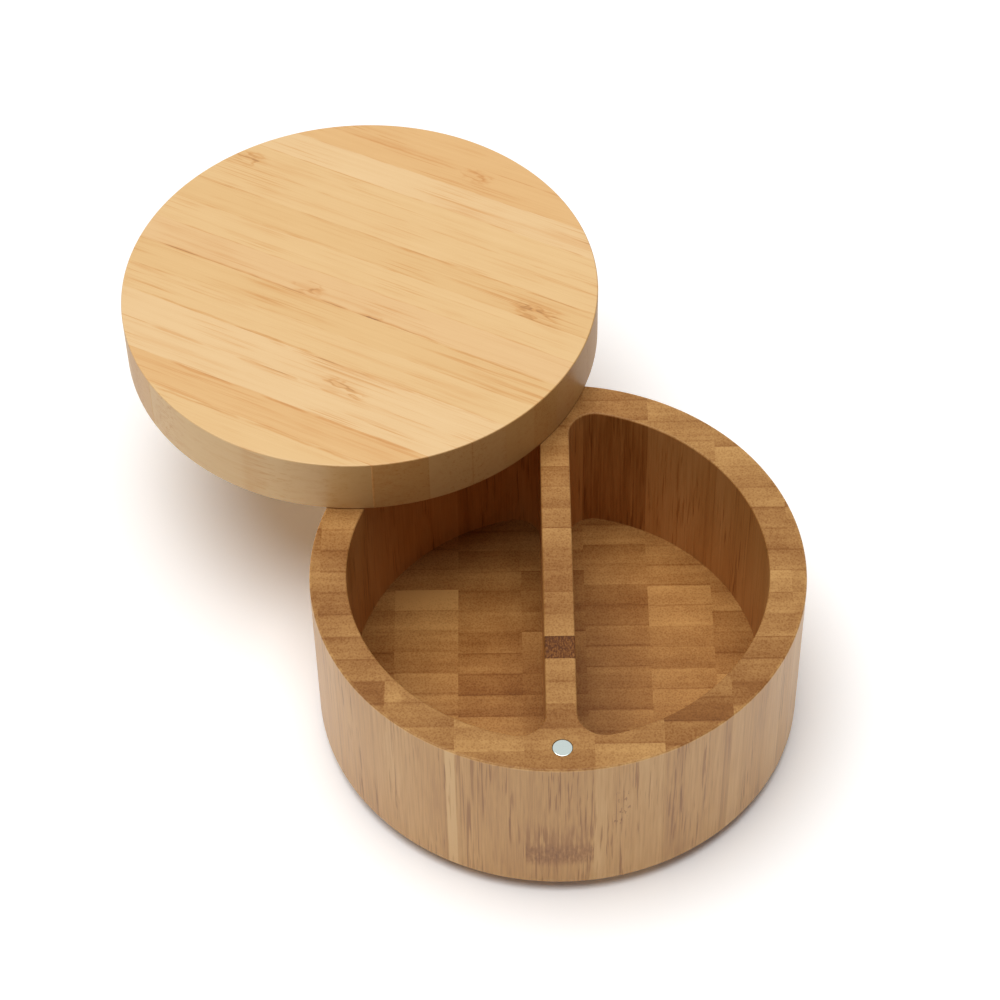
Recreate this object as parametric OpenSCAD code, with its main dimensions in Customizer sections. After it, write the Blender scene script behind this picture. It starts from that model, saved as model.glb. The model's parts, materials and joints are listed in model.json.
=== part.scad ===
// Round two-compartment salt box of laminated bamboo, with a swivel lid.
// The box is cut from an end-grain block, and its lid from edge-glued strips.
// The lid turns on an upright steel pin at the back of the rim, and a pair of
// magnets at the front of the rim catches it when it is closed.
// Origin: centre of the base. +Z is up, -Y is the front, where the magnets meet.

/* [Box] */
// Outer diameter of the box
box_d = 127; // [100:1:160]
// Height of the box without its lid
box_h = 52.8; // [36:0.1:80]
// Thickness of the round wall
wall = 9.5; // [8:0.5:14]
// Thickness of the floor
floor_t = 9.4; // [3:0.1:12]
// Thickness of the wall between the two compartments
divider_t = 7.7; // [5:0.1:12]
// Radius of the compartments' corners beside the divider
corner_r = 7; // [3:0.5:12]

/* [Lid] */
// Thickness of the lid
lid_t = 16.9; // [14:0.1:24]
// How far the closed lid stands out past the box all round
lid_overhang = 0.75; // [0:0.05:3]
// Gap between the lid's underside and the rim
lid_gap = 0.15; // [0.1:0.05:1]
// Angle that the lid is swung open, clockwise from above
lid_open = 117.2; // [0:0.1:180]

/* [Pivot pin] */
// Diameter of the pivot pin
pin_d = 4; // [3:0.5:5]
// Distance from the outer face of the wall to the pin's axis
pin_inset = 5.4; // [4.5:0.1:6]
// Depth of the pin in the box
pin_in_box = 22; // [12:0.5:30]
// Depth of the pin in the lid
pin_in_lid = 11; // [8:0.5:12]
// Radial room round the pin in the lid, where it turns
pin_play = 0.06; // [0.02:0.01:0.1]

/* [Magnets] */
// Diameter of both magnets
magnet_d = 5; // [4:0.5:6]
// Thickness of both magnets
magnet_t = 3; // [2:0.5:5]
// Distance from the outer face of the wall to the magnets' axis
magnet_inset = 7; // [5.5:0.1:7.5]
// Depth of a magnet's face below the wood round it
magnet_recess = 0.1; // [0:0.05:0.5]

/* [Edges] */
// Bevel on the lid's two outer edges
lid_bevel = 0.3; // [0.2:0.1:2]
// Bevel on the rim's outer edge
rim_bevel = 0.5; // [0.2:0.1:1.5]
// Bevel on the box's bottom edge
base_bevel = 4.4; // [0.4:0.1:5]
// Bevel round the mouth of each compartment
mouth_bevel = 0.4; // [0.2:0.1:1]

/* [Laminations] */
// Shift of the block's middle beam towards +X
beam_shift = -0.7; // [-1.5:0.1:1.5]

/* [Hidden] */
$fn = 96;

beam_count = 9;
strip_count = 14;

// Glue and running clearances
glue_gap = 0.02;
magnet_gap = 0.1;
pin_bevel = 0.4;
magnet_bevel = 0.2;

// Box
box_r = box_d / 2;
inner_r = box_r - wall;
divider_x = divider_t / 2;

// The block is 7.4 beams wide, so its first and last beams are thin slices
beam_w = box_d / 7.4;
middle_beam = (beam_count + 1) / 2;

// Lid
lid_r = box_r + lid_overhang;
lid_z = box_h + lid_gap;
strip_w = 2 * lid_r / strip_count;

// Pivot and magnets
pin_y = box_r - pin_inset;
pin_z = box_h - pin_in_box;
pin_l = pin_in_box + lid_gap + pin_in_lid;
magnet_y = magnet_inset - box_r;
pocket_r = magnet_d / 2 + magnet_gap;
pocket_t = magnet_t + magnet_recess;

// Cuts run this far past the faces that they open
past = 1;

// A disc of radius r and height h with bevelled edges
module bevelled_disc(r, h, low_bevel, high_bevel) {
    rotate_extrude()
        polygon([
            [0, 0],
            [r - low_bevel, 0],
            [r, low_bevel],
            [r, h - high_bevel],
            [r - high_bevel, h],
            [0, h]
        ]);
}

// Wood left in a compartment's corner, where the divider meets the round wall.
// side is 1 for the back corner and -1 for the front one.
module corner_fill(side, cut_h) {
    corner_x = divider_x + corner_r;
    corner_y = sqrt(pow(inner_r - corner_r, 2) - pow(corner_x, 2));
    reach = (inner_r + wall / 2) / (inner_r - corner_r);
    start_x = divider_x - divider_t / 4;
    scale([1, side, 1])
        difference() {
            linear_extrude(cut_h)
                polygon([
                    [corner_x, corner_y],
                    [start_x, corner_y],
                    [start_x, inner_r + wall / 2],
                    [corner_x * reach, corner_y * reach]
                ]);
            translate([corner_x, corner_y, -past])
                cylinder(r = corner_r, h = cut_h + 2 * past);
            translate([corner_x, corner_y, cut_h - mouth_bevel])
                cylinder(r1 = corner_r, r2 = corner_r + mouth_bevel + past, h = mouth_bevel + past);
        }
}

// The room of the right-hand compartment, from the floor to the rim
module compartment() {
    cut_h = box_h - floor_t;
    translate([0, 0, floor_t])
        difference() {
            intersection() {
                union() {
                    cylinder(r = inner_r, h = cut_h + past, $fn = 180);
                    translate([0, 0, cut_h - mouth_bevel])
                        cylinder(r1 = inner_r, r2 = inner_r + mouth_bevel + past,
                            h = mouth_bevel + past, $fn = 180);
                }
                rotate([90, 0, 0])
                    linear_extrude(box_d, center = true)
                        polygon([
                            [divider_x, 0],
                            [box_r, 0],
                            [box_r, cut_h + past],
                            [divider_x - mouth_bevel - past, cut_h + past],
                            [divider_x, cut_h - mouth_bevel]
                        ]);
            }
            for (side = [-1, 1])
                corner_fill(side, cut_h + past);
        }
}

// The whole box as it leaves the router, before it is looked at beam by beam
module box_shape() {
    difference() {
        bevelled_disc(box_r, box_h, base_bevel, rim_bevel, $fn = 180);
        compartment();
        mirror([1, 0, 0])
            compartment();
        translate([0, pin_y, pin_z])
            cylinder(d = pin_d + 2 * glue_gap, h = pin_in_box + past);
        translate([0, magnet_y, box_h - pocket_t])
            cylinder(r = pocket_r, h = pocket_t + past);
    }
}

// One upright beam of the block, counted from -X. Its grain runs along Z.
module box_beam(i) {
    low_x = beam_shift + (i - middle_beam - 0.5) * beam_w;
    color([0.68, 0.49, 0.31])
        intersection() {
            box_shape();
            translate([low_x, -box_r - past, -past])
                cube([beam_w, box_d + 2 * past, box_h + 2 * past]);
        }
}

// Puts a piece drawn on the closed box where the open lid carries it
module swing_open() {
    translate([0, pin_y, 0])
        rotate([0, 0, -lid_open])
            translate([0, -pin_y, 0])
                children();
}

// The whole lid, closed
module lid_shape() {
    difference() {
        translate([0, 0, lid_z])
            bevelled_disc(lid_r, lid_t, lid_bevel, lid_bevel, $fn = 180);
        translate([0, pin_y, lid_z - past])
            cylinder(d = pin_d + 2 * pin_play, h = pin_in_lid + past);
        translate([0, magnet_y, lid_z - past])
            cylinder(r = pocket_r, h = pocket_t + past);
    }
}

// One strip of the lid, counted from -X of the closed lid. Its grain runs
// from the pivot to the magnet.
module lid_strip(i) {
    color([0.88, 0.72, 0.50])
        swing_open()
            intersection() {
                lid_shape();
                translate([(i - 1) * strip_w - lid_r, -lid_r - past, lid_z - past])
                    cube([strip_w, 2 * (lid_r + past), lid_t + 2 * past]);
            }
}

// Steel pin, glued in the box. The lid turns on it, and its top end carries
// the lid just clear of the rim.
module pivot_pin() {
    color([0.70, 0.71, 0.72])
        translate([0, pin_y, pin_z]) {
            cylinder(d1 = pin_d - 2 * pin_bevel, d2 = pin_d, h = pin_bevel);
            translate([0, 0, pin_bevel])
                cylinder(d = pin_d, h = pin_l - 2 * pin_bevel);
            translate([0, 0, pin_l - pin_bevel])
                cylinder(d1 = pin_d, d2 = pin_d - 2 * pin_bevel, h = pin_bevel);
        }
}

// Plated magnet with its visible face at the top
module magnet() {
    color([0.78, 0.82, 0.83]) {
        cylinder(d = magnet_d, h = magnet_t - magnet_bevel);
        translate([0, 0, magnet_t - magnet_bevel])
            cylinder(d1 = magnet_d, d2 = magnet_d - 2 * magnet_bevel, h = magnet_bevel);
    }
}

module box_magnet() {
    translate([0, magnet_y, box_h - pocket_t])
        magnet();
}

// The lid's magnet faces down and meets the other when the lid is closed
module lid_magnet() {
    swing_open()
        translate([0, magnet_y, lid_z + pocket_t])
            mirror([0, 0, 1])
                magnet();
}

for (i = [1 : beam_count])
    box_beam(i);
for (i = [1 : strip_count])
    lid_strip(i);
pivot_pin();
box_magnet();
lid_magnet();
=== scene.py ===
"""Round salt box of laminated bamboo with a swivel lid: its looks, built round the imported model.

Lengths are in metres. The box stands at the origin with its front towards -Y. The lid's strips are made
where the closed lid has them, and their meshes are then turned to where the open lid has them.
"""
import json
import math

import bpy
from mathutils import Matrix, Vector


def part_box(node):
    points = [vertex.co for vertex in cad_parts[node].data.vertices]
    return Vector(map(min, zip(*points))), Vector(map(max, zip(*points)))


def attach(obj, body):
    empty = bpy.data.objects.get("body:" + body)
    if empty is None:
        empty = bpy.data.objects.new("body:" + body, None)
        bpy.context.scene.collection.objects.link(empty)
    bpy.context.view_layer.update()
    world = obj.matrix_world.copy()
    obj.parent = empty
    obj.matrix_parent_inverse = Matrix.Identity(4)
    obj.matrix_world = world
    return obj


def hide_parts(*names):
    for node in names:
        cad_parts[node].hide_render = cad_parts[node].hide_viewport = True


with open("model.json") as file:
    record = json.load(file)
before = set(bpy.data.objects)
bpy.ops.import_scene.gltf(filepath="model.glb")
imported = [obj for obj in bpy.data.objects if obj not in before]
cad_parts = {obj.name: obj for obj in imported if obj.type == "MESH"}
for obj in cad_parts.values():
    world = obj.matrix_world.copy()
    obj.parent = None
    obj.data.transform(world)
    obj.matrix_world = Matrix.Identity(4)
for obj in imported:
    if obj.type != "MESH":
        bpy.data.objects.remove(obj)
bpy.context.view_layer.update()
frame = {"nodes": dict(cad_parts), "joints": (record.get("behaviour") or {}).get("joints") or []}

MM = 0.001

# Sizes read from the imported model
BEAMS = sorted((n for n in frame["nodes"] if n.startswith("box_beam_")), key=lambda n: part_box(n)[0].x)
STRIP_COUNT = sum(n.startswith("lid_strip_") for n in frame["nodes"])
SWIVEL = frame["joints"][0]
PIVOT = Vector(SWIVEL["pos_m"])
LID_OPEN = math.radians(SWIVEL["range_deg"][1])
BOX_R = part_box(BEAMS[-1])[1].x
RIM_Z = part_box(BEAMS[0])[1].z
LID_Z, LID_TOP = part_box("lid_strip_1")[0].z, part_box("lid_strip_1")[1].z
MAGNET_LOW, MAGNET_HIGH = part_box("box_magnet")
PIN_LOW, PIN_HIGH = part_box("pivot_pin")

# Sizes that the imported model's boxes don't give
WALL = 9.5 * MM
FLOOR_T = 9.4 * MM
DIVIDER_T = 7.7 * MM
CORNER_R = 7 * MM
LID_OVERHANG = 0.75 * MM
LID_ROUND = 0.35 * MM
RIM_ROUND = 0.5 * MM
BASE_BEVEL = 4.4 * MM
BEVEL_ROUND = 0.4 * MM
MOUTH_ROUND = 0.45 * MM
POCKET_GAP = 0.1 * MM
GLUE_GAP = 0.02 * MM
PIN_PLAY = 0.06 * MM
PIN_IN_LID = 11 * MM
MAGNET_ROUND = 0.2 * MM
PIN_ROUND = 0.4 * MM

# Steps round each circle
WOOD_STEPS = 360
MAGNET_STEPS = 64
PIN_STEPS = 48

# Cutters run this far past the faces that they open
PAST = 2 * MM
# Slabs that a whole is cut up with reach this far out, which is past everything
FAR = 200 * MM

INNER_R = BOX_R - WALL
LID_R = BOX_R + LID_OVERHANG
STRIP_W = 2 * LID_R / STRIP_COUNT
MAGNET_Y = (MAGNET_LOW.y + MAGNET_HIGH.y) / 2
MAGNET_R = (MAGNET_HIGH.x - MAGNET_LOW.x) / 2
MAGNET_T = MAGNET_HIGH.z - MAGNET_LOW.z
MAGNET_RECESS = RIM_Z - MAGNET_HIGH.z
PIN_R = (PIN_HIGH.x - PIN_LOW.x) / 2


# Camera, at the photograph's viewing angle

PHOTO_SIDE = 1000
FOCAL_PIXELS = 2989.45
CAMERA_ELEVATION = math.radians(49.532)
CAMERA_AZIMUTH = math.radians(0.418)
CAMERA_ROLL = math.radians(-1.146)
CAMERA_DISTANCE = 0.79886
CAMERA_TARGET = Vector((-0.01467, 0.03621, 0.03717))


def make_camera():
    data = bpy.data.cameras.new("camera")
    data.sensor_width = 36
    data.lens = data.sensor_width * FOCAL_PIXELS / PHOTO_SIDE
    camera = bpy.data.objects.new("camera", data)
    bpy.context.scene.collection.objects.link(camera)
    el, az = CAMERA_ELEVATION, CAMERA_AZIMUTH
    back = Vector((math.sin(az) * math.cos(el), -math.cos(az) * math.cos(el), math.sin(el)))
    level = Vector((math.cos(az), math.sin(az), 0))
    upright = back.cross(level)
    right = math.cos(CAMERA_ROLL) * level + math.sin(CAMERA_ROLL) * upright
    up = math.cos(CAMERA_ROLL) * upright - math.sin(CAMERA_ROLL) * level
    camera.matrix_world = Matrix.Translation(CAMERA_TARGET + back * CAMERA_DISTANCE) @ Matrix(
        (right, up, back)
    ).transposed().to_4x4()
    bpy.context.scene.camera = camera


# Mesh tools


def arc(cx, cy, radius, start, end, steps):
    """Points (x, y) along an arc, its angles in degrees, with both ends."""
    angles = [math.radians(start + (end - start) * k / steps) for k in range(steps + 1)]
    return [(cx + radius * math.cos(a), cy + radius * math.sin(a)) for a in angles]


def circle(radius, z, cy=0.0, steps=48):
    """Points round a circle. None lies on its axes, where a cut between two pieces may pass."""
    start = 180 / steps
    return [(x, y, z) for x, y in arc(0, cy, radius, start, start + 360, steps)[:-1]]


def loft(name, rings):
    """A closed object through rings of equally many points, from the lowest up, with flat caps."""
    n = len(rings[0])
    top = len(rings) - 1
    faces = [
        (k * n + j, k * n + (j + 1) % n, (k + 1) * n + (j + 1) % n, (k + 1) * n + j)
        for k in range(top)
        for j in range(n)
    ]
    faces.append(tuple(reversed(range(n))))
    faces.append(tuple(range(top * n, top * n + n)))
    mesh = bpy.data.meshes.new(name)
    mesh.from_pydata([p for ring in rings for p in ring], [], faces)
    made = bpy.data.objects.new(name, mesh)
    bpy.context.scene.collection.objects.link(made)
    return made


def round_disc(name, radius, low_z, high_z, low_round, high_round, steps, cy=0.0, arc_steps=6):
    """A disc whose two outer edges are rounded."""
    quarter = [math.pi / 2 * k / arc_steps for k in range(arc_steps + 1)]
    rings = []
    for a in quarter:
        r = radius - low_round * (1 - math.sin(a))
        rings.append(circle(r, low_z + low_round * (1 - math.cos(a)), cy=cy, steps=steps))
    for a in quarter:
        r = radius - high_round * (1 - math.cos(a))
        rings.append(circle(r, high_z - high_round * (1 - math.sin(a)), cy=cy, steps=steps))
    return loft(name, rings)


def block(name, low, high):
    corners = [(low[0], low[1]), (high[0], low[1]), (high[0], high[1]), (low[0], high[1])]
    return loft(name, [[(x, y, z) for x, y in corners] for z in (low[2], high[2])])


def combine(target, tool, operation):
    """Applies an exact boolean to target's mesh and removes the tool."""
    modifier = target.modifiers.new("cut", "BOOLEAN")
    modifier.operation = operation
    modifier.solver = "EXACT"
    modifier.object = tool
    evaluated = target.evaluated_get(bpy.context.evaluated_depsgraph_get())
    mesh = bpy.data.meshes.new_from_object(evaluated)
    target.modifiers.clear()
    target.data = mesh
    bpy.data.objects.remove(tool)


def copy_of(source, name):
    made = bpy.data.objects.new(name, source.data.copy())
    bpy.context.scene.collection.objects.link(made)
    return made


def finish_faces(piece, sharp_degrees=35):
    """Smooth shading that breaks at sharp edges, with flat faces kept flat."""
    mesh = piece.data
    mesh.shade_smooth()
    mesh.set_sharp_from_angle(angle=math.radians(sharp_degrees))
    weighted = piece.modifiers.new("flat faces", "WEIGHTED_NORMAL")
    weighted.keep_sharp = True
    weighted.weight = 100


# Shapes of the box and the lid


def compartment_outline(grow):
    """Points (x, y) round the right-hand compartment, grown outwards by a margin."""
    cx = DIVIDER_T / 2 + CORNER_R
    cy = math.sqrt((INNER_R - CORNER_R) ** 2 - cx**2)
    meet = math.degrees(math.atan2(cy, cx))
    outline = arc(0, 0, INNER_R + grow, -meet, meet, 120)
    outline += arc(cx, cy, CORNER_R + grow, meet, 180, 20)[1:]
    outline += arc(cx, -cy, CORNER_R + grow, 180, 360 - meet, 20)[:-1]
    return outline


def compartment_cutter(side):
    """The room of a compartment, its mouth eased outwards. side is 1 for right and -1 for left."""
    levels = [(FLOOR_T, 0.0)]
    steps = 5
    # A touch taller than a true round, so that it passes through the rim and doesn't just touch it
    rise = 1.02 * MOUTH_ROUND
    for k in range(steps + 1):
        a = math.pi / 2 * k / steps
        levels.append((RIM_Z - MOUTH_ROUND + rise * math.sin(a), MOUTH_ROUND * (1 - math.cos(a))))
    levels.append((RIM_Z + PAST, MOUTH_ROUND))
    rings = []
    for z, grow in levels:
        outline = [(side * x, y) for x, y in compartment_outline(grow)]
        rings.append([(x, y, z) for x, y in outline[::side]])
    return loft("cutter", rings)


def slices(whole, names, edges, name_prefix):
    """Cuts a whole into upright slabs between x positions, one for each node name, in order."""
    made = []
    for k, node in enumerate(names):
        piece = copy_of(whole, f"{name_prefix}_{k + 1}")
        slab = block("slab", (edges[k], -FAR, -FAR), (edges[k + 1], FAR, FAR))
        combine(piece, slab, "INTERSECT")
        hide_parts(node)
        made.append(piece)
    bpy.data.objects.remove(whole)
    return made


def box_block(steps):
    """The block that the box is cut from, with a bevel under its wall and a rounded rim."""
    foot = BASE_BEVEL + BEVEL_ROUND * math.tan(math.pi / 8)
    profile = [(BOX_R - BASE_BEVEL, 0)]
    profile += arc(BOX_R - BEVEL_ROUND, foot, BEVEL_ROUND, -45, 0, 4)
    profile += arc(BOX_R - RIM_ROUND, RIM_Z - RIM_ROUND, RIM_ROUND, 0, 90, 6)
    return loft("box", [circle(r, z, steps=steps) for r, z in profile])


def make_box_pieces():
    whole = box_block(WOOD_STEPS)
    for side in (1, -1):
        combine(whole, compartment_cutter(side), "DIFFERENCE")
    pocket = [circle(MAGNET_R + POCKET_GAP, z, cy=MAGNET_Y) for z in (MAGNET_LOW.z, RIM_Z + PAST)]
    combine(whole, loft("pocket", pocket), "DIFFERENCE")
    hole = [circle(PIN_R + GLUE_GAP, z, cy=PIVOT.y) for z in (PIN_LOW.z, RIM_Z + PAST)]
    combine(whole, loft("hole", hole), "DIFFERENCE")
    edges = [-FAR] + [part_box(n)[0].x for n in BEAMS[1:]] + [FAR]
    return slices(whole, BEAMS, edges, "end_grain_beam")


def make_lid_pieces():
    whole = round_disc("lid", LID_R, LID_Z, LID_TOP, LID_ROUND, LID_ROUND, WOOD_STEPS)
    bore = [circle(PIN_R + PIN_PLAY, z, cy=PIVOT.y) for z in (LID_Z - PAST, LID_Z + PIN_IN_LID)]
    combine(whole, loft("bore", bore), "DIFFERENCE")
    pocket_top = LID_Z + MAGNET_T + MAGNET_RECESS
    pocket = [circle(MAGNET_R + POCKET_GAP, z, cy=MAGNET_Y) for z in (LID_Z - PAST, pocket_top)]
    combine(whole, loft("pocket", pocket), "DIFFERENCE")
    edges = [STRIP_W * k - LID_R for k in range(STRIP_COUNT + 1)]
    names = [f"lid_strip_{k + 1}" for k in range(STRIP_COUNT)]
    return slices(whole, names, edges, "long_grain_strip")


def swing_open(piece):
    """Turns a piece of the closed lid about the pivot, to where the open lid has it."""
    about = Matrix.Translation(PIVOT)
    piece.data.transform(about @ Matrix.Rotation(-LID_OPEN, 4, "Z") @ about.inverted())


# Material tools


class Nodes:
    """Nodes of a material or a world. A socket is given a number, a colour or a node's output."""

    def __init__(self, owner):
        owner.use_nodes = True
        self.owner = owner
        self.tree = owner.node_tree
        self.tree.nodes.clear()

    def put(self, socket, value):
        if isinstance(value, bpy.types.NodeSocket):
            self.tree.links.new(value, socket)
        else:
            socket.default_value = value

    def add(self, kind, inputs=None, **settings):
        node = self.tree.nodes.new(kind)
        for key, value in settings.items():
            setattr(node, key, value)
        for key, value in (inputs or {}).items():
            self.put(node.inputs[key], value)
        return node

    def math(self, operation, a, b=0.0, c=0.0):
        return self.add("ShaderNodeMath", {0: a, 1: b, 2: c}, operation=operation).outputs[0]

    def product(self, *factors):
        result = factors[0]
        for factor in factors[1:]:
            result = self.math("MULTIPLY", result, factor)
        return result

    def without(self, value):
        """1 minus a value."""
        return self.math("SUBTRACT", 1.0, value)

    def vector(self, x, y, z):
        return self.add("ShaderNodeCombineXYZ", {0: x, 1: y, 2: z}).outputs[0]

    def stretched(self, x, y, z, by):
        """A point of a pattern that is drawn out in x, y and z by the three numbers of by."""
        return self.vector(*(self.math("DIVIDE", c, long) for c, long in zip((x, y, z), by)))

    def split(self, vector):
        return self.add("ShaderNodeSeparateXYZ", {0: vector}).outputs

    def surface_place(self):
        """Where the surface is, in metres and as the frame has it."""
        return self.add("ShaderNodeTexCoord").outputs["Object"]

    def surface_normal(self):
        return self.add("ShaderNodeTexCoord").outputs["Normal"]

    def in_mm(self, place):
        return [self.math("MULTIPLY", c, 1 / MM) for c in self.split(place)]

    def swing_shut(self, vector, about):
        """A place or a direction of the open lid, as the closed lid has it."""
        inputs = {"Vector": vector, "Center": about, "Angle": LID_OPEN}
        return self.add("ShaderNodeVectorRotate", inputs, rotation_type="Z_AXIS").outputs[0]

    def step(self, value, low, high):
        """0 below low and 1 above high, smooth between."""
        inputs = {0: value, 1: low, 2: high, 3: 0.0, 4: 1.0}
        return self.add("ShaderNodeMapRange", inputs, interpolation_type="SMOOTHSTEP").outputs[0]

    def scale(self, value, low, high, to_low, to_high):
        inputs = {0: value, 1: low, 2: high, 3: to_low, 4: to_high}
        return self.add("ShaderNodeMapRange", inputs).outputs[0]

    def band(self, value, low, high, soft):
        """1 between low and high and 0 outside, with edges as wide as soft."""
        rise = self.step(value, low - soft / 2, low + soft / 2)
        fall = self.step(value, high - soft / 2, high + soft / 2)
        return self.math("SUBTRACT", rise, fall)

    def length(self, x, y):
        return self.math("SQRT", self.math("MULTIPLY_ADD", x, x, self.math("MULTIPLY", y, y)))

    def spot(self, x, y, at_x, at_y, radius):
        """1 at a point of the plane, and 0 a radius away from it."""
        away = self.length(self.math("SUBTRACT", x, at_x), self.math("SUBTRACT", y, at_y))
        return self.without(self.step(away, 0.3 * radius, radius))

    def weigh(self, value, by, middle, weight):
        """Adds weight * (by - middle) to a value."""
        return self.math("MULTIPLY_ADD", self.math("SUBTRACT", by, middle), weight, value)

    def noise(self, vector, scale=1.0, detail=2.0, roughness=0.5):
        inputs = {"Vector": vector, "Scale": scale, "Detail": detail, "Roughness": roughness}
        return self.add("ShaderNodeTexNoise", inputs).outputs[0]

    def cells(self, vector, scale):
        """Distance to the nearest of a set of scattered points."""
        inputs = {"Vector": vector, "Scale": scale}
        return self.add("ShaderNodeTexVoronoi", inputs).outputs["Distance"]

    def dice(self, x, y, z):
        """Three even random numbers for a cell named by whole numbers."""
        inputs = {"Vector": self.vector(x, y, z)}
        return self.split(self.add("ShaderNodeTexWhiteNoise", inputs).outputs["Color"])

    def mix(self, factor, a, b, blend="MIX"):
        node = self.add("ShaderNodeMix", {0: factor}, data_type="RGBA", blend_type=blend)
        self.put(node.inputs[6], a)
        self.put(node.inputs[7], b)
        return node.outputs[2]

    def tint(self, color, by):
        return self.mix(1.0, color, by, "MULTIPLY")

    def surface(self, color, roughness, bump=None, bump_height=0.0, gloss=0.5, **constants):
        """Ends a material in its shader and gives the material back."""
        inputs = {"Base Color": color, "Roughness": roughness, "Specular IOR Level": gloss}
        shader = self.add("ShaderNodeBsdfPrincipled", inputs)
        for key, value in constants.items():
            shader.inputs[key].default_value = value
        if bump is not None:
            inputs = {"Strength": 1.0, "Distance": bump_height, "Height": bump}
            self.put(shader.inputs["Normal"], self.add("ShaderNodeBump", inputs).outputs[0])
        self.add("ShaderNodeOutputMaterial", {"Surface": shader.outputs[0]}, is_active_output=True)
        return self.owner


def linear(value):
    """The shader's value of a colour channel that is 0 to 255 on the screen."""
    if value > 10:
        return ((value / 255 + 0.055) / 1.055) ** 2.4
    return value / 255 / 12.92


def srgb(red, green, blue):
    return (linear(red), linear(green), linear(blue), 1.0)


def ramp3(m, value, dark, middle, pale):
    """A colour from dark at 0 over middle at 0.5 to pale at 1, and on to a deep brown below 0."""
    lower = m.mix(m.scale(value, 0, 0.5, 0, 1), dark, middle)
    color = m.mix(m.scale(value, 0.5, 1, 0, 1), lower, pale)
    red = m.scale(value, -1, 0, 0.35, 1)
    deep = m.vector(red, m.math("POWER", red, 1.3), m.math("POWER", red, 1.8))
    return m.tint(color, deep)


# Bamboo of the box, with end grain on its flat faces. Places in it are in mm.

SLAT_T = 7.05
END_DARK = srgb(138, 88, 40)
END_MID = srgb(168, 120, 67)
END_PALE = srgb(196, 149, 90)
SIDE_DARK = srgb(173, 118, 60)
SIDE_MID = srgb(209, 157, 93)
SIDE_PALE = srgb(229, 184, 123)
# Painted shade: what the wood's colour is multiplied by on the compartments' walls and on their floors,
# darker and warmer as in their shade
INNER_SHADE_TINT = (0.80, 0.68, 0.56, 1.0)
FLOOR_SHADE_TINT = (0.92, 0.88, 0.80, 1.0)
# The outer wall is glossier than cut end grain and the routed inside
WALL_GLOSS = 0.68
CUT_GLOSS = 0.18
# Depth of the fibres' relief, in metres
BOX_FIBRE_HEIGHT = 0.04 * MM
# How far each beam's stack of slats is shifted towards +Y, and how much paler its end grain is
SLAT_SHIFT = (0.0, -0.4, -0.2, -1.0, -1.0, 0.9, 0.3, -2.0, -2.0)
BEAM_TONE = (-0.18, -0.15, -0.02, 0.0, -0.12, -0.05, 0.0, 0.0, -0.05)
# Slats that stand out, by beam, as (a y within the slat, how much paler than the others it is)
ODD_SLATS = {
    2: ((-40, -0.25), (-31, 0.15), (8, 0.15), (15, 0.3), (22, 0.3)),
    3: ((-46, -0.28), (2, -0.1), (10, 0.1), (17, 0.4), (24, 0.4)),
    4: ((-11, -0.3), (-4, -0.5), (3, -0.22), (10, -0.15)),
    5: ((-60, 0.1), (-33, 0.1), (-4, -0.12)),
    6: ((-60, 0.3), (-3, -0.05), (4, -0.2), (18, -0.1), (25, -0.1), (46, 0.2), (54, -0.15)),
    7: ((-52, -0.3), (-46, -0.4), (-38, -0.35), (18, 0.2), (24, 0.2), (32, 0.2), (53, 0.3)),
    8: (
        (-40, -0.4), (-33, -0.3), (-26, -0.2), (-12, 0.1), (-5, 0.2), (2, -0.1), (9, -0.05),
        (23, 0.25), (37, 0.38),
    ),
    9: ((-12, 0.1), (-5, 0.2), (2, -0.1), (9, -0.05)),
}
# How much of that shows on the walls, where the slats' faces are seen from the side
ODD_ON_WALL = 0.25
# A pale scuff on the rim, where beams 2 and 3 meet
SCUFF_X = -41.5
SCUFF_Y = -40.5
SCUFF_R = 3.5


class BoxWood(Nodes):
    """The nodes of one beam's wood, with the place on the beam that they colour."""

    def __init__(self, number):
        super().__init__(bpy.data.materials.new(f"box_bamboo_{number}"))
        self.number = number
        self.x, self.y, self.z = self.in_mm(self.surface_place())
        upright = self.math("ABSOLUTE", self.split(self.surface_normal())[2])
        self.flat = self.step(upright, 0.3, 0.8)
        self.on_wall = self.without(self.flat)
        self.radius = self.length(self.x, self.y)
        self.inside = self.without(self.step(self.radius, INNER_R / MM + 1, INNER_R / MM + 5))
        # The slat, a whole number, and how far across it the place is, from 0 to 1
        self.shift = SLAT_SHIFT[number - 1]
        along = self.math("DIVIDE", self.math("SUBTRACT", self.y, self.shift), SLAT_T)
        self.slat = self.math("FLOOR", along)
        self.within = self.math("SUBTRACT", along, self.slat)

    def by_face(self, wall, end):
        """One number on the walls and another on end grain."""
        return self.scale(self.flat, 0, 1, wall, end)


def slat_tones(m, value):
    """Slats differ in tone, are denser and darker on one side, and meet in dark glue lines."""
    tone, flip, hue = m.dice(m.slat, float(m.number), 3.0)
    value = m.weigh(value, tone, 0.5, m.by_face(0.3, 0.36))
    # The dark side lay nearer to the culm's bark
    dense = m.math("ABSOLUTE", m.math("SUBTRACT", m.within, m.math("GREATER_THAN", flip, 0.35)))
    value = m.weigh(value, dense, 0.5, m.by_face(-0.14, -0.25))
    edge = m.math("MINIMUM", m.within, m.without(m.within))
    seam = m.product(m.without(m.step(edge, 0.0, 0.09)), m.step(hue, 0.0, 0.9))
    value = m.weigh(value, seam, 0.0, m.by_face(-0.2, -0.32))
    value = m.weigh(value, m.flat, 0.0, BEAM_TONE[m.number - 1])
    for where, shade in ODD_SLATS.get(m.number, ()):
        same = m.math("COMPARE", m.slat, math.floor((where - m.shift) / SLAT_T), 0.1)
        value = m.weigh(value, same, 0.0, m.by_face(ODD_ON_WALL * shade, shade))
    return value


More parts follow.
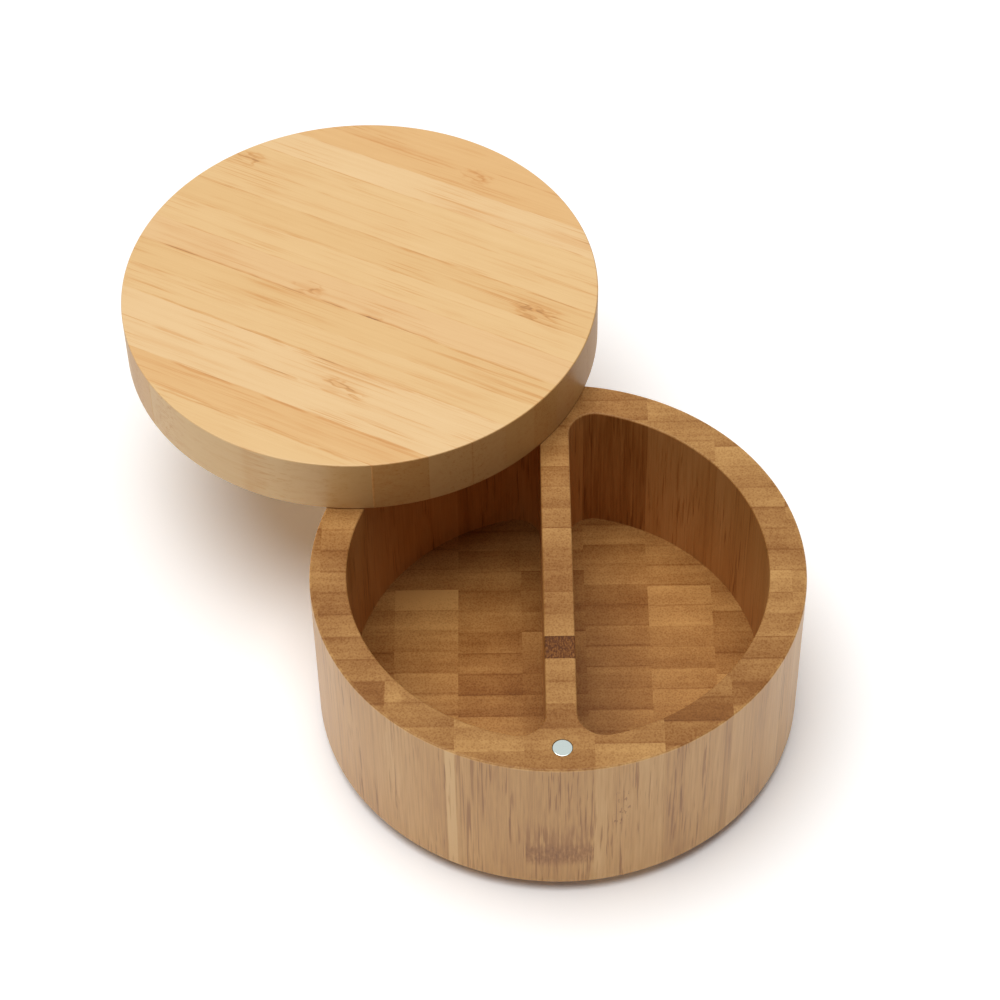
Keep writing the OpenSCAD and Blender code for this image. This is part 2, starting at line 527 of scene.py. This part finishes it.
def fibre_tones(m, value, u, fibres):
    """Broad clouds, and fibre bundles that show as dots on end grain and as streaks up the walls."""
    bundle = m.step(m.cells(m.stretched(u, m.y, m.z, (1, 1, 30)), 1.7), 0.25, 0.6)
    broad = m.noise(m.stretched(m.x, m.y, m.z, (1, 1, 5)), 0.12, 2.0)
    bands = m.noise(m.vector(m.math("DIVIDE", u, 14), m.y, 0.0), 0.6, 2.0)
    value = m.weigh(value, broad, 0.5, 0.5)
    value = m.weigh(value, bands, 0.5, m.by_face(0.1, 0.5))
    value = m.weigh(value, fibres, 0.5, m.by_face(0.95, 0.66))
    return m.weigh(value, bundle, 0.7, m.by_face(0.05, 0.25))


def wall_streaks(m):
    """Dark streaks that run up the walls and gather in places."""
    fine = m.noise(m.stretched(m.x, m.y, m.z, (1, 1, 26)), 1.5, 2.0, 0.6)
    gather = m.noise(m.stretched(m.x, m.y, m.z, (1, 1, 6)), 0.16, 1.0)
    return m.product(m.step(fine, 0.53, 0.66), m.step(gather, 0.38, 0.6))


def painted_edge_highlights(m):
    """Painted highlights, in patches, where the rim's outer edge and the foot of the wall are paler."""
    rim = RIM_Z / MM
    outer = BOX_R / MM
    foot = BASE_BEVEL / MM
    edge = m.product(m.step(m.z, rim - 0.9, rim - 0.3), m.step(m.radius, outer - 0.8, outer - 0.3))
    low = m.without(m.step(m.z, foot + 0.5, foot + 1.2))
    patchy = m.step(m.noise(m.vector(m.x, m.y, m.z), 0.6, 2.0), 0.35, 0.65)
    return m.product(patchy, m.math("MAXIMUM", edge, m.math("MULTIPLY", low, 0.6)))


def scuff(m):
    return m.math("MULTIPLY", m.spot(m.x, m.y, SCUFF_X, SCUFF_Y, SCUFF_R), 0.3)


def sapwood_band(m, front):
    """A pale band at the front right edge of beam 3."""
    return m.math("MULTIPLY", m.product(front, m.step(m.x, -29.2, -28.8)), 0.4)


def dark_fibres(m, front):
    """Dark lines beside that band, on beam 4."""
    lines = m.noise(m.vector(m.x, 0.0, m.math("DIVIDE", m.z, 60)), 1.6, 1.0)
    lines = m.product(m.step(lines, 0.5, 0.62), m.band(m.x, -26, -19.5, 0.4), front)
    return m.math("MULTIPLY", lines, -0.45)


def dark_piece(m):
    """A dark piece across the top of the divider."""
    drawn = m.vector(m.math("MULTIPLY", m.x, 2.6), m.math("MULTIPLY", m.y, 0.9), 0.0)
    dashes = m.noise(drawn, 1.0, 2.0, 0.7)
    piece = m.product(m.band(m.y, -29.2, -22.15, 0.1), m.step(m.z, RIM_Z / MM - 4, RIM_Z / MM - 3))
    return m.product(piece, m.scale(dashes, 0.38, 0.62, -1.6, -0.6))


def culm_node(m, front):
    """A node of the culm: an even dark patch of short fibres, with longer ones that fade upwards."""
    short = m.noise(m.vector(m.x, 0.0, m.math("DIVIDE", m.z, 3)), 1.4, 2.0, 0.6)
    tall = m.noise(m.vector(m.x, 0.0, m.math("DIVIDE", m.z, 14)), 1.1, 2.0, 0.6)
    patch = m.product(m.band(m.z, 13.0, 20.0, 5.0), m.scale(short, 0.35, 0.65, -0.7, -0.2))
    above = m.product(m.band(m.z, 20, 28, 12.0), m.scale(tall, 0.42, 0.62, -0.4, 0.05))
    return m.product(front, m.math("ADD", patch, above))


def short_dashes(m, front):
    """Short dark dashes at half height on the front of beam 6."""
    dashes = m.noise(m.vector(m.x, 0.0, m.math("DIVIDE", m.z, 3)), 1.7, 1.0)
    near = m.product(m.band(m.x, 12.5, 16.8, 0.5), m.band(m.z, 28, 41, 2.0), front)
    return m.math("MULTIPLY", m.product(m.step(dashes, 0.58, 0.68), near), -0.6)


def darker_back(m):
    """The compartment's back wall is darker on beam 6."""
    back = m.product(m.step(m.y, 20, 24), m.without(m.step(m.y, 58, 60)), m.on_wall)
    return m.math("MULTIPLY", back, -0.45)


def beam_marks(m):
    """Marks of single beams, as a list of amounts by which the wood is paler."""
    # 1 on the front of the outer wall
    front = m.product(m.without(m.step(m.y, -52, -50)), m.on_wall)
    if m.number == 2:
        return [scuff(m)]
    if m.number == 3:
        return [scuff(m), sapwood_band(m, front)]
    if m.number == 4:
        return [dark_fibres(m, front)]
    if m.number == 5:
        return [dark_piece(m), culm_node(m, front)]
    if m.number == 6:
        return [short_dashes(m, front), darker_back(m)]
    return []


def box_bamboo(number):
    """Bamboo of one beam of the box: a stack of slats along Y, whose fibres run along Z."""
    m = BoxWood(number)
    # Each slat has its own part of the grain
    u = m.math("MULTIPLY_ADD", m.slat, 17.3, m.x)
    fibres = m.noise(m.stretched(u, m.y, m.z, (1, 1, 30)), 1.8, 3.0, 0.65)
    value = slat_tones(m, 0.5)
    value = fibre_tones(m, value, u, fibres)
    value = m.weigh(value, wall_streaks(m), 0.15, m.by_face(-0.55, 0.0))
    for mark in beam_marks(m):
        value = m.math("ADD", value, mark)
    # Painted highlights along the rim's edge and the foot of the wall
    value = m.weigh(value, painted_edge_highlights(m), 0.0, 0.35)

    end = ramp3(m, value, END_DARK, END_MID, END_PALE)
    # Painted shade on the compartments' floors
    low = m.without(m.step(m.z, FLOOR_T / MM + 1, FLOOR_T / MM + 3))
    end = m.mix(m.product(m.inside, low), end, m.tint(end, FLOOR_SHADE_TINT))
    side = ramp3(m, value, SIDE_DARK, SIDE_MID, SIDE_PALE)
    # Painted shade on the compartments' inner walls
    side = m.mix(m.inside, side, m.tint(side, INNER_SHADE_TINT))
    color = m.mix(m.flat, side, end)
    rough = m.scale(fibres, 0.2, 0.8, 0.30, 0.42)
    gloss = m.scale(m.math("MAXIMUM", m.flat, m.inside), 0, 1, WALL_GLOSS, CUT_GLOSS)
    return m.surface(color, rough, bump=fibres, bump_height=BOX_FIBRE_HEIGHT, gloss=gloss)


# Bamboo of the lid, with its places in mm on the closed lid

LID_COLORS = {
    "amber": srgb(226, 179, 117),
    "tan": srgb(227, 184, 123),
    "peach": srgb(229, 186, 129),
    "honey": srgb(230, 189, 130),
    "pale": srgb(233, 194, 139),
}
STRIP_KINDS = "amber amber pale honey honey tan honey peach tan honey pale pale amber honey".split()
# What a strip's colour is multiplied by in its dark grain, in its pale grain, and on its darker ends,
# where it is also painted shade on the side that faces the box
LID_DARK_TINT = (0.88, 0.72, 0.54, 1.0)
LID_PALE_TINT = (1.04, 1.07, 1.12, 1.0)
LID_END_AND_SHADE_TINT = (0.70, 0.60, 0.46, 1.0)
LID_GLOSS = 0.6
LID_END_GLOSS = 0.2
# Depth of the fibres' relief, in metres
LID_FIBRE_HEIGHT = 0.03 * MM
# Dark lines along the grain, as (strip, x, lowest y, highest y)
LID_LINES = (
    (2, -52.3, -40, 6),
    (4, -37.0, -50, 0),
    (6, -18.1, 0, 60),
    (8, 9.0, -56, 26),
    (9, 9.6, 14, 60),
    (10, 27.2, -48, 0),
    (11, 28.2, -12, 56),
    (12, 37.2, -42, 12),
    (13, 46.4, -30, 40),
    (14, 55.8, -30, 28),
)
# Knots, as (strip, x, y, radius)
LID_KNOTS = (
    (2, -52, 9, 3.5),
    (4, -31, -52, 4.0),
    (6, -12, 47, 5.0),
    (8, 6.5, -12, 3.5),
    (8, 8, 8, 2.5),
    (11, 35, 14, 5.0),
)


class LidWood(Nodes):
    """The nodes of one strip's wood, with the place on the closed lid that they colour."""

    def __init__(self, number):
        super().__init__(bpy.data.materials.new(f"lid_bamboo_{number}"))
        self.number = number
        self.x, self.y, self.z = self.in_mm(self.swing_shut(self.surface_place(), PIVOT))
        # Each strip has its own part of the grain
        self.u = self.math("ADD", self.x, 100.0 * number)


def lid_grain(m, fine):
    """The strip's tone: fine and broad grain, with dark streaks that gather in places."""
    grain = m.noise(m.stretched(m.u, m.y, m.z, (1, 45, 1)), 0.7, 2.0)
    broad = m.noise(m.vector(m.math("DIVIDE", m.u, 12), m.math("DIVIDE", m.y, 30), 0.0), 1.0, 2.0)
    streaks = m.noise(m.stretched(m.u, m.y, m.z, (1, 70, 1)), 1.9, 2.0, 0.6)
    gather = m.noise(m.vector(m.math("DIVIDE", m.u, 4), m.math("DIVIDE", m.y, 25), 0.0), 0.7, 1.0)
    streaks = m.product(m.step(streaks, 0.5, 0.68), m.step(gather, 0.4, 0.65))
    value = m.weigh(0.52, fine, 0.5, 0.7)
    value = m.weigh(value, grain, 0.5, 0.9)
    value = m.weigh(value, broad, 0.5, 0.9)
    return m.weigh(value, streaks, 0.1, -0.5)


def lid_lines(m, value):
    """Glue lines along the strip's edges and dark lines along its grain, which come and go."""
    comes = m.noise(m.vector(0.0, m.math("DIVIDE", m.y, 14), float(m.number)), 1.0, 2.0)
    width = STRIP_W / MM
    low_x = (m.number - 1) * width - LID_R / MM
    from_low = m.math("SUBTRACT", m.x, low_x)
    from_high = m.math("SUBTRACT", low_x + width, m.x)
    glue = m.without(m.step(m.math("MINIMUM", from_low, from_high), 0.05, 0.45))
    value = m.weigh(value, m.product(glue, m.step(comes, 0.42, 0.62)), 0.0, -0.45)

    wander = m.noise(m.vector(0.0, m.math("DIVIDE", m.y, 9), 3.0 * m.number), 1.0, 3.0)
    wavy = m.math("ADD", m.x, m.scale(wander, 0, 1, -0.6, 0.6))
    for strip, where, low_y, high_y in LID_LINES:
        if strip == m.number:
            across = m.band(wavy, where - 0.3, where + 0.3, 0.6)
            along = m.band(m.y, low_y, high_y, 5.0)
            line = m.product(across, along, m.step(comes, 0.35, 0.5))
            value = m.weigh(value, line, 0.0, -0.45)
    return value


def knot(m, at_x, at_y, radius):
    """A faint knot: curled dark lines in a slightly darker, long spot."""
    longer = 1.9
    near = m.spot(m.x, m.math("DIVIDE", m.y, longer), at_x, at_y / longer, radius)
    curl = m.vector(m.math("MULTIPLY", m.x, 0.35), m.math("MULTIPLY", m.y, 0.11), m.z)
    curl = m.math("ABSOLUTE", m.math("SUBTRACT", m.noise(curl, 1.0, 2.0, 0.6), 0.5))
    curl = m.without(m.step(curl, 0.005, 0.06))
    return m.product(near, m.math("MULTIPLY_ADD", curl, -0.5, -0.22))


def strip_ends_and_shade(m):
    """1 on the ends of the lid's strips and near 0 on its top. At the pivot it reaches further round,
    over the side that faces the box, as painted shade.
    """
    facing = m.split(m.swing_shut(m.surface_normal(), (0, 0, 0)))[1]
    # Past the end grain, this reaches round the side that faces the box as painted shade
    pivot_end_and_shade = m.step(facing, -0.1, 0.85)
    magnet_end = m.step(m.math("MULTIPLY", facing, -1.0), 0.4, 1.0)
    return m.math("MAXIMUM", pivot_end_and_shade, magnet_end)


def lid_bamboo(number):
    """Bamboo of one strip of the lid, whose fibres run along Y."""
    m = LidWood(number)
    fine = m.noise(m.stretched(m.u, m.y, m.z, (1, 45, 1)), 2.6, 3.0, 0.7)
    value = lid_lines(m, lid_grain(m, fine))
    for strip, at_x, at_y, radius in LID_KNOTS:
        if strip == number:
            value = m.math("ADD", value, knot(m, at_x, at_y, radius))
    base = LID_COLORS[STRIP_KINDS[number - 1]]
    color = ramp3(m, value, m.tint(base, LID_DARK_TINT), base, m.tint(base, LID_PALE_TINT))
    # Darker end grain, with painted shade on the lid's side next to the box
    ends = strip_ends_and_shade(m)
    color = m.mix(ends, color, m.tint(color, LID_END_AND_SHADE_TINT))
    rough = m.scale(fine, 0.2, 0.8, 0.36, 0.46)
    gloss = m.scale(ends, 0, 1, LID_GLOSS, LID_END_GLOSS)
    return m.surface(color, rough, bump=fine, bump_height=LID_FIBRE_HEIGHT, gloss=gloss)


# Metal

PLATING_COLOR = srgb(199, 210, 206)
PLATING_ROUGHNESS = 0.15
STEEL_COLOR = srgb(180, 182, 184)
STEEL_ROUGHNESS = 0.25
# Grains to the metre
METAL_GRAIN = 3000.0


def metal(name, color, roughness):
    """A metal with a faint grain in its colour and its roughness."""
    m = Nodes(bpy.data.materials.new(name))
    grain = m.noise(m.surface_place(), METAL_GRAIN, 2.0)
    darker = tuple(0.94 * c for c in color[:3]) + (1.0,)
    rough = m.scale(grain, 0, 1, roughness - 0.03, roughness + 0.03)
    return m.surface(m.mix(grain, darker, color), rough, Metallic=1.0)


# Pieces


def dress(piece, material):
    """Gives a piece its material and its shading."""
    piece.data.materials.clear()
    piece.data.materials.append(material)
    finish_faces(piece)


def make_box():
    for index, piece in enumerate(make_box_pieces()):
        dress(piece, box_bamboo(index + 1))
        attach(piece, "box")


def make_lid():
    for index, piece in enumerate(make_lid_pieces()):
        swing_open(piece)
        dress(piece, lid_bamboo(index + 1))
        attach(piece, "lid")


def magnet_disc(name, low_z, high_z):
    return round_disc(
        name, MAGNET_R, low_z, high_z, MAGNET_ROUND, MAGNET_ROUND, MAGNET_STEPS, cy=MAGNET_Y
    )


def make_magnets():
    """The two discs of the catch, one in the rim and one in the lid."""
    plating = metal("plating", PLATING_COLOR, PLATING_ROUGHNESS)
    box_magnet = magnet_disc("catch_magnet_box", MAGNET_LOW.z, MAGNET_HIGH.z)
    dress(box_magnet, plating)
    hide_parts("box_magnet")
    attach(box_magnet, "box")

    low_z = LID_Z + MAGNET_RECESS
    lid_magnet = magnet_disc("catch_magnet_lid", low_z, low_z + MAGNET_T)
    swing_open(lid_magnet)
    dress(lid_magnet, plating)
    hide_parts("lid_magnet")
    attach(lid_magnet, "lid")


def make_pin():
    """The pin that the lid turns on."""
    pin = round_disc(
        "swivel_pin", PIN_R, PIN_LOW.z, PIN_HIGH.z, PIN_ROUND, PIN_ROUND, PIN_STEPS, cy=PIVOT.y
    )
    dress(pin, metal("steel", STEEL_COLOR, STEEL_ROUGHNESS))
    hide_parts("pivot_pin")
    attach(pin, "box")


make_camera()
make_box()
make_lid()
make_magnets()
make_pin()


# Floor and light

FLOOR_HALF = 6.0
FLOOR_WHITE = 0.93
# What the camera sees of the floor. Over 1, the open floor is plain white and only deep shadow shows.
FLOOR_SEEN = 1.13
# How much of the light on open, level ground comes from the dome and from the lamp
DOME = 0.15
KEY = 0.85
KEY_SPREAD = math.radians(51)
# The lamp stands a little to the left of straight above
KEY_LEFT = math.radians(7)


def grey(level):
    return (level, level, level, 1.0)


def make_floor():
    half = FLOOR_HALF
    corners = [(-half, -half, 0), (half, -half, 0), (half, half, 0), (-half, half, 0)]
    mesh = bpy.data.meshes.new("floor")
    mesh.from_pydata(corners, [], [(0, 1, 2, 3)])
    floor = bpy.data.objects.new("floor", mesh)
    bpy.context.scene.collection.objects.link(floor)
    m = Nodes(bpy.data.materials.new("floor"))
    seen = m.add("ShaderNodeLightPath").outputs["Is Camera Ray"]
    white = m.mix(seen, grey(FLOOR_WHITE), grey(FLOOR_SEEN))
    diffuse = m.add("ShaderNodeBsdfDiffuse", {"Color": white})
    m.add("ShaderNodeOutputMaterial", {"Surface": diffuse.outputs[0]})
    mesh.materials.append(m.owner)


def make_world():
    """A dim dome of light, which looks plain white to the camera and in glossy or clear surfaces."""
    world = bpy.data.worlds.new("world")
    bpy.context.scene.world = world
    m = Nodes(world)
    path = m.add("ShaderNodeLightPath").outputs
    clear = m.math("MAXIMUM", path["Is Glossy Ray"], path["Is Transmission Ray"])
    seen = m.math("MAXIMUM", path["Is Camera Ray"], clear)
    strength = m.scale(seen, 0, 1, DOME, 1.0)
    background = m.add("ShaderNodeBackground", {"Color": grey(1.0), "Strength": strength})
    m.add("ShaderNodeOutputWorld", {"Surface": background.outputs[0]})


def make_key():
    """One broad soft lamp, almost straight above. It shines down its own -Z."""
    key = bpy.data.lights.new("key", "SUN")
    key.energy = KEY * math.pi / math.cos(KEY_LEFT)
    key.angle = KEY_SPREAD
    lamp = bpy.data.objects.new("key", key)
    bpy.context.scene.collection.objects.link(lamp)
    lamp.matrix_world = Matrix.Rotation(-KEY_LEFT, 4, "Y")


make_floor()
make_world()
make_key()

bpy.context.scene.view_settings.view_transform = "Standard"
